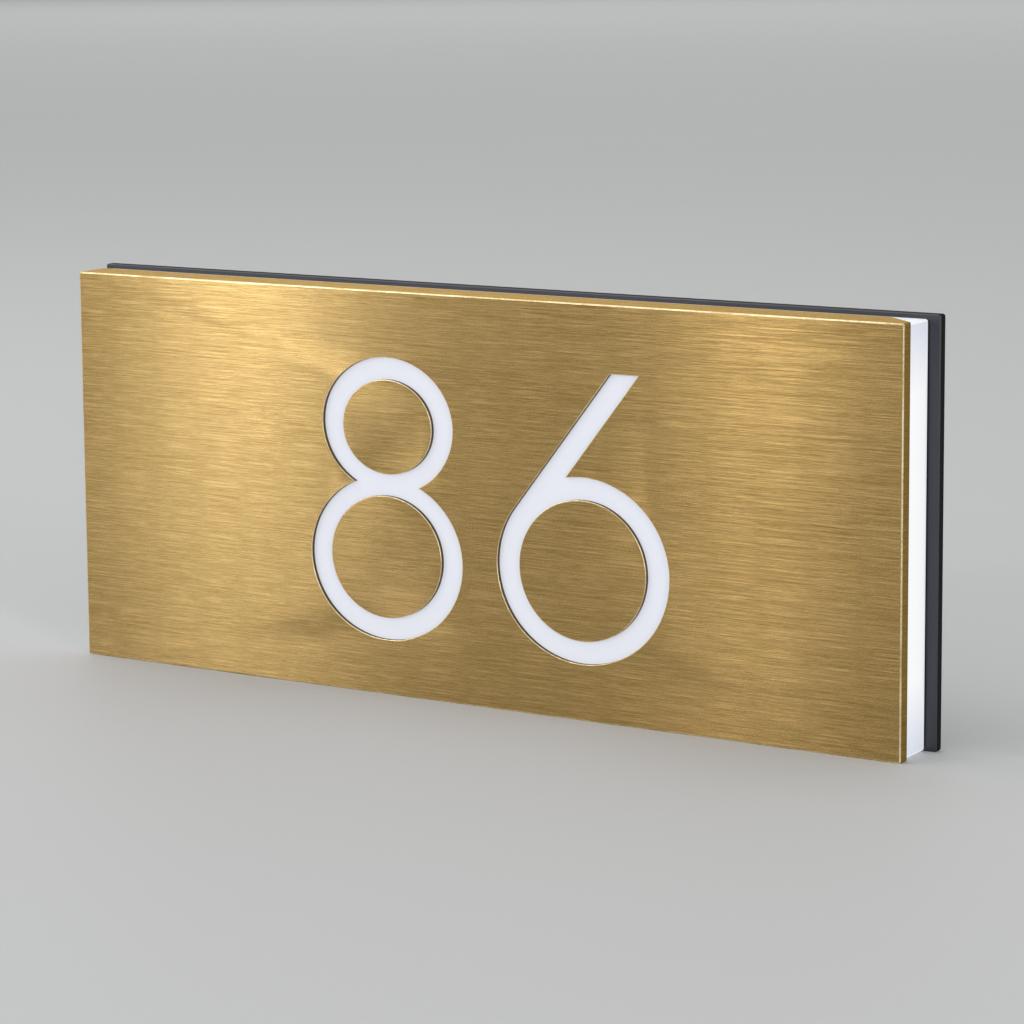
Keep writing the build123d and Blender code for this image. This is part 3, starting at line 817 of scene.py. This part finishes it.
@dataclass
class BrassFace:
    """The folded face tray and the three islands inside the numerals.

    A face's tilt is the Y part of its normal. It tells the numerals' walls and the rounded folds from the
    flat front.
    """

    nodes: tuple[str, ...] = ("face_tray", "island_eight_upper", "island_eight_lower", "island_six")
    slot: str = "brushed_brass"
    eased: float = 0.26 * MM
    eased_faces: int = 3
    eased_turn: float = 50.0
    front_zone: float = 0.3 * MM
    numerals_reach: float = 0.120
    numerals_low: float = 0.010
    numerals_high: float = 0.140
    wall_tilt: float = 0.5
    fold_tilts: Span = (-0.985, -0.12)
    brass: BrushedBrass = BrushedBrass()
    cut: PaintedShadeCut = PaintedShadeCut()
    edge: EasedBrass = EasedBrass()

    def build(self) -> None:
        """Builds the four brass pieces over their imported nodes."""
        for node in self.nodes:
            mesh = clean_copy(node)
            self.mark_cuts(mesh)
            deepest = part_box(node)[0].y + self.front_zone
            ease_edges(mesh, self.eased, self.eased_faces, self.eased_turn, deepest)
            self.mark_edges(mesh)
            self.unfold(mesh)
            build_piece(node, f"brass_{node}", [self.brass, self.cut, self.edge], mesh)

    def mark_cuts(self, mesh: Mesh) -> None:
        """Gives the walls of the numerals the cut edge's finish, painted dark brown as shade.

        Args:
            mesh: the tray or an island.
        """
        for face in mesh.faces:
            centre = face.calc_center_median()
            inside = abs(centre.x) < self.numerals_reach and self.numerals_low < centre.z < self.numerals_high
            if inside and abs(face.normal.y) < self.wall_tilt:
                face.material_index = SECOND_FINISH

    def mark_edges(self, mesh: Mesh) -> None:
        """Gives the folds and the eased edges of the front their lighter finish, a painted highlight.

        Args:
            mesh: the tray or an island, after its edges were eased.
        """
        front, side = self.fold_tilts
        for face in mesh.faces:
            if front < face.normal.y < side:
                face.material_index = THIRD_FINISH

    def unfold(self, mesh: Mesh) -> None:
        """Writes each point's place on the flat sheet, so that the brushing runs on round the folds.

        Args:
            mesh: the tray or an island.
        """
        layer = mesh.loops.layers.uv.new(SHEET_MAP)
        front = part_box("face_tray")[0].y
        for face in mesh.faces:
            sideways = abs(face.normal.x) > abs(face.normal.z)
            turn = math.copysign(1, face.normal.x if sideways else face.normal.z)
            for loop in face.loops:
                point = loop.vert.co
                depth = turn * (point.y - front)
                if sideways:
                    loop[layer].uv = (point.x + depth, point.z)
                else:
                    loop[layer].uv = (point.x, point.z + depth)


@dataclass
class OpalHousing:
    """The opal diffuser and the film that bonds the brass to it.

    A face is flat where one part of its normal reaches the flat tilt. The others are the eased edges, which
    glow brighter than the flat front as a painted highlight.
    """

    housing: str = "diffuser_shell"
    films: tuple[str, ...] = ("face_film", "island_films")
    eased: float = 0.28 * MM
    flat_tilt: float = 0.97
    opal: LitOpal = LitOpal()
    # Painted highlight: the eased edges glow brighter than the flat front, so that they show a light border.
    edge_highlights: LitOpal = LitOpal(
        name="lit_opal_edge_painted_highlight", front=(0.82, 0.82, 0.84), side=(0.86, 0.865, 0.88), rim=(0.80, 0.81, 0.84)
    )

    def build(self) -> None:
        """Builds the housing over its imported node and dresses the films."""
        mesh = clean_copy(self.housing)
        ease_edges(mesh, self.eased)
        for face in mesh.faces:
            if max(abs(tilt) for tilt in face.normal) < self.flat_tilt:
                face.material_index = SECOND_FINISH
        build_piece(self.housing, "opal_body", [self.opal, self.edge_highlights], mesh)
        for node in self.films:
            dress_node(node, Stock.BOND_FILM)


@dataclass
class WallPlate:
    """The black back plate with its seal, reflector and cable grommet.

    Its sawn edges are the faces whose normals have less than the edge tilt along Y.
    """

    plate: str = "back_plate"
    eased: float = 0.25 * MM
    edge_tilt: float = 0.3

    def build(self) -> None:
        """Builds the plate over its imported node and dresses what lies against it."""
        mesh = clean_copy(self.plate)
        ease_edges(mesh, self.eased)
        for face in mesh.faces:
            if abs(face.normal.y) < self.edge_tilt:
                face.material_index = SECOND_FINISH
        build_piece(self.plate, "wall_plate", [Stock.SATIN_BLACK, Stock.SAWN_BLACK], mesh)
        dress_node("rim_gasket", Stock.SEAL_FOAM)
        dress_node("reflector_sheet", Stock.WHITE_SHEET)
        dress_node("cable_grommet", Stock.RUBBER)


@dataclass
class LightBars:
    """The four light bars with their lamps, resistors, screws and leads.

    A lamp's face is a front or an end where its normal has more than the facing value that way, and an end
    has at least the area given, in square metres.
    """

    places: tuple[str, ...] = ("bottom", "lower", "upper", "top")
    window_border: float = 0.42 * MM
    window_depth: float = 0.08 * MM
    facing: float = 0.9
    least_end: float = 1e-6
    cap_length: float = 0.55 * MM
    bare_length: float = 1.6 * MM
    board: MaskedBoard = MaskedBoard()

    def build(self) -> None:
        """Builds the lamps, resistors and jumpers, and dresses the boards, screws and feed leads."""
        for place in self.places:
            dress_node(f"led_bar_{place}", self.board)
            self.build_lamps(place)
        self.build_resistors()
        dress_node("bar_screws", Stock.PLATED_STEEL)
        self.build_leads("positive", Stock.RED_SLEEVE)
        self.build_leads("negative", Stock.BLACK_SLEEVE)

    def build_lamps(self, place: str) -> None:
        """Gives each lamp of a bar a sunk phosphor window and tinned ends.

        Args:
            place: the bar's place.
        """
        mesh = clean_copy(f"led_chips_{place}")
        fronts = [face for face in mesh.faces if face.normal.y < -self.facing]
        bmesh.ops.inset_individual(
            mesh, faces=fronts, thickness=self.window_border, depth=-self.window_depth, use_even_offset=True
        )
        for face in fronts:
            face.material_index = SECOND_FINISH
        for face in mesh.faces:
            if abs(face.normal.x) > self.facing and face.calc_area() > self.least_end:
                face.material_index = THIRD_FINISH
        finishes = [Stock.LED_CASE, Stock.PHOSPHOR, Stock.TINNED]
        build_piece(f"led_chips_{place}", f"{place}_lamps", finishes, mesh)

    def build_resistors(self) -> None:
        """Gives each resistor its tinned ends."""
        mesh = clean_copy("bar_resistors")
        band_ends(mesh, Axis.X, self.cap_length)
        finishes = [Stock.CHIP_BLACK, Stock.TINNED]
        build_piece("bar_resistors", "series_resistors", finishes, mesh)

    def build_leads(self, pole: str, sleeve: Stock) -> None:
        """Gives the jumper leads of a pole their bare ends, and dresses its feed lead.

        Args:
            pole: the pole's name.
            sleeve: the finish of the sleeve.
        """
        mesh = clean_copy(f"jumper_leads_{pole}")
        band_ends(mesh, Axis.Z, self.bare_length)
        build_piece(f"jumper_leads_{pole}", f"{pole}_jumpers", [sleeve, Stock.TINNED], mesh)
        dress_node(f"feed_lead_{pole}", sleeve)


@dataclass
class TerminalBlock:
    """The terminal block that takes the supply."""

    eased: float = 0.25 * MM

    def build(self) -> None:
        """Builds the block and dresses its clamps and screws."""
        finishes = [Stock.TERMINAL_BODY]
        build_piece("terminal_block", "supply_terminal", finishes, eased=self.eased)
        dress_node("terminal_clamps", Stock.NICKEL)
        dress_node("terminal_screws", Stock.PLATED_STEEL)
        dress_node("terminal_mount_screw", Stock.PLATED_STEEL)


@dataclass
class HangingParts:
    """The hooks that carry the housing and the brackets that lock it."""

    brackets: tuple[str, ...] = ("top_hooks", "lock_brackets")
    screws: tuple[str, ...] = ("hook_screws", "lock_bracket_screws", "lock_screws")
    eased: float = 0.14 * MM

    def build(self) -> None:
        """Builds the sheet steel parts and dresses their screws."""
        for node in self.brackets:
            build_piece(node, f"steel_{node}", [Stock.BRACKET_STEEL], eased=self.eased)
        for node in self.screws:
            dress_node(node, Stock.PLATED_STEEL)


# ---------------------------------------------------------------- studio


@dataclass(frozen=True)
class Softbox:
    """A rectangular lamp that faces the sign.

    Its bearing is counted from straight ahead of the sign towards the sign's left, and its lean turns it in
    its own plane.
    """

    name: str
    bearing: float
    distance: float
    height: float
    width: float
    tall: float
    power: float
    lean: float = 0.0
    tint: Colour = (1.0, 1.0, 1.0)
    aim_height: float = 0.075

    def build(self) -> None:
        """Adds the lamp to the scene."""
        data = bpy.data.lights.new(self.name, "AREA")
        data.shape = "RECTANGLE"
        data.size = self.width
        data.size_y = self.tall
        data.energy = self.power
        data.color = self.tint
        turn = math.radians(self.bearing)
        place = Vector((-self.distance * math.sin(turn), -self.distance * math.cos(turn), self.height))
        aim = Vector((0, 0, self.aim_height)) - place
        faced = aim.to_track_quat("-Z", "Y").to_matrix().to_4x4()
        leaned = Matrix.Rotation(math.radians(self.lean), 4, "Z")
        lamp = bpy.data.objects.new(self.name, data)
        lamp.matrix_world = Matrix.Translation(place) @ faced @ leaned
        bpy.context.scene.collection.objects.link(lamp)


@dataclass
class Studio:
    """A pale floor, soft lamps and the camera."""

    lamps: tuple[Softbox, ...] = (
        Softbox(
            "left softbox", bearing=39.6, distance=2.62, height=0.85, width=0.10, tall=0.80, power=9.8,
            lean=12.0, tint=(0.95, 1.0, 1.10),
        ),
        Softbox(
            "slim strip", bearing=25.8, distance=2.72, height=0.60, width=0.04, tall=0.80, power=2.8, lean=5.0
        ),
        Softbox(
            "front fill", bearing=33.0, distance=2.4, height=0.35, width=1.80, tall=0.50, power=2.0
        ),
        Softbox(
            "overhead softbox", bearing=80.0, distance=1.05, height=1.70, width=1.60, tall=1.20, power=8.0
        ),
        Softbox(
            "right side softbox", bearing=-57.0, distance=2.2, height=0.60, width=0.35, tall=1.30, power=12.0
        ),
        Softbox(
            "left side softbox", bearing=85.0, distance=2.2, height=0.60, width=0.50, tall=1.20, power=3.0
        ),
        Softbox(
            "rear softbox", bearing=148.0, distance=9.0, height=2.80, width=6.00, tall=3.40, power=46.0
        ),
    )
    sun_strength: float = 0.15
    sun_elevation: float = 62.0
    sun_bearing: float = 30.0
    sun_spread: float = 40.0
    floor_radius: float = 14.0
    floor_edges: int = 96
    floor_tone: Colour = (0.64, 0.64, 0.635)
    floor_shade: float = 0.98
    floor_cloud: float = 3.0
    floor_grain: float = 700.0
    floor_grain_depth: float = 0.0001
    floor_grain_strength: float = 0.3
    floor_roughness: Span = (0.55, 0.68)
    floor_specular: float = 0.1
    sky_tone: Colour = (0.90, 0.91, 0.92)
    sky_strength: float = 0.60
    camera_place: Triple = (0.6761, -1.0563, 0.2894)
    camera_yaw: float = 32.11
    camera_pitch: float = 8.31
    camera_roll: float = -0.42
    camera_reach: float = 100.0
    focal_pixels: float = 3491.0
    shift_pixels: float = -100.0
    sensor: float = 36.0

    def build(self) -> None:
        """Builds the whole studio."""
        self.build_floor()
        self.build_sky()
        self.build_daylight()
        for lamp in self.lamps:
            lamp.build()
        self.build_camera()

    def build_floor(self) -> None:
        """Lays a round pale floor under the sign."""
        mesh = bmesh.new()
        bmesh.ops.create_circle(mesh, cap_ends=True, segments=self.floor_edges, radius=self.floor_radius)
        data = bpy.data.meshes.new("studio floor")
        mesh.to_mesh(data)
        mesh.free()
        data.materials.append(self.make_floor_finish())
        floor = bpy.data.objects.new("studio floor", data)
        bpy.context.scene.collection.objects.link(floor)

    def make_floor_finish(self) -> Material:
        """Makes the floor's finish.

        Returns:
            The material.
        """
        graph = Graph("pale floor")
        place = graph.place()
        cloud = graph.noise(place, self.floor_cloud, detail=3.0)
        grain = graph.noise(place, self.floor_grain, detail=2.0)
        graph.bump(grain, self.floor_grain_depth, self.floor_grain_strength)
        return graph.dress(
            Base_Color=graph.blend(cloud, shaded(self.floor_tone, self.floor_shade), self.floor_tone),
            Roughness=graph.remap(grain, NOISE_SPAN, self.floor_roughness),
            Specular_IOR_Level=self.floor_specular,
        )

    def build_sky(self) -> None:
        """Fills the room with even pale light."""
        world = bpy.data.worlds.new("pale room")
        world.use_nodes = True
        background = world.node_tree.nodes["Background"]
        background.inputs["Color"].default_value = (*self.sky_tone, 1.0)
        background.inputs["Strength"].default_value = self.sky_strength
        bpy.context.scene.world = world

    def build_daylight(self) -> None:
        """Adds one broad, far lamp, so that the floor is lit as evenly as the sign."""
        data = bpy.data.lights.new("broad daylight", "SUN")
        data.energy = self.sun_strength
        data.angle = math.radians(self.sun_spread)
        turn = math.radians(self.sun_bearing)
        rise = math.radians(self.sun_elevation)
        level = math.cos(rise)
        place = Vector((-math.sin(turn) * level, -math.cos(turn) * level, math.sin(rise)))
        lamp = bpy.data.objects.new("broad daylight", data)
        lamp.matrix_world = (-place).to_track_quat("-Z", "Y").to_matrix().to_4x4()
        bpy.context.scene.collection.objects.link(lamp)

    def build_camera(self) -> None:
        """Stands the camera where the photograph was taken from."""
        data = bpy.data.cameras.new("camera")
        data.sensor_width = self.sensor
        data.lens = self.focal_pixels / PHOTO_SIZE * self.sensor
        data.shift_y = self.shift_pixels / PHOTO_SIZE
        data.clip_end = self.camera_reach
        turn = (
            Matrix.Rotation(math.radians(self.camera_yaw), 4, "Z")
            @ Matrix.Rotation(math.radians(90 - self.camera_pitch), 4, "X")
            @ Matrix.Rotation(math.radians(self.camera_roll), 4, "Z")
        )
        camera = bpy.data.objects.new("camera", data)
        camera.matrix_world = Matrix.Translation(self.camera_place) @ turn
        bpy.context.scene.collection.objects.link(camera)
        bpy.context.scene.camera = camera
        bpy.context.scene.view_settings.view_transform = "Standard"


def main() -> None:
    """Builds the studio and each sub-assembly in order."""
    logging.basicConfig(level=logging.INFO, format="%(name)s: %(message)s")
    works = (
        Studio(),
        BrassFace(),
        OpalHousing(),
        WallPlate(),
        LightBars(),
        TerminalBlock(),
        HangingParts(),
    )
    for work in works:
        LOG.info("building %s", type(work).__name__)
        work.build()


if __name__ == "__main__":
    main()
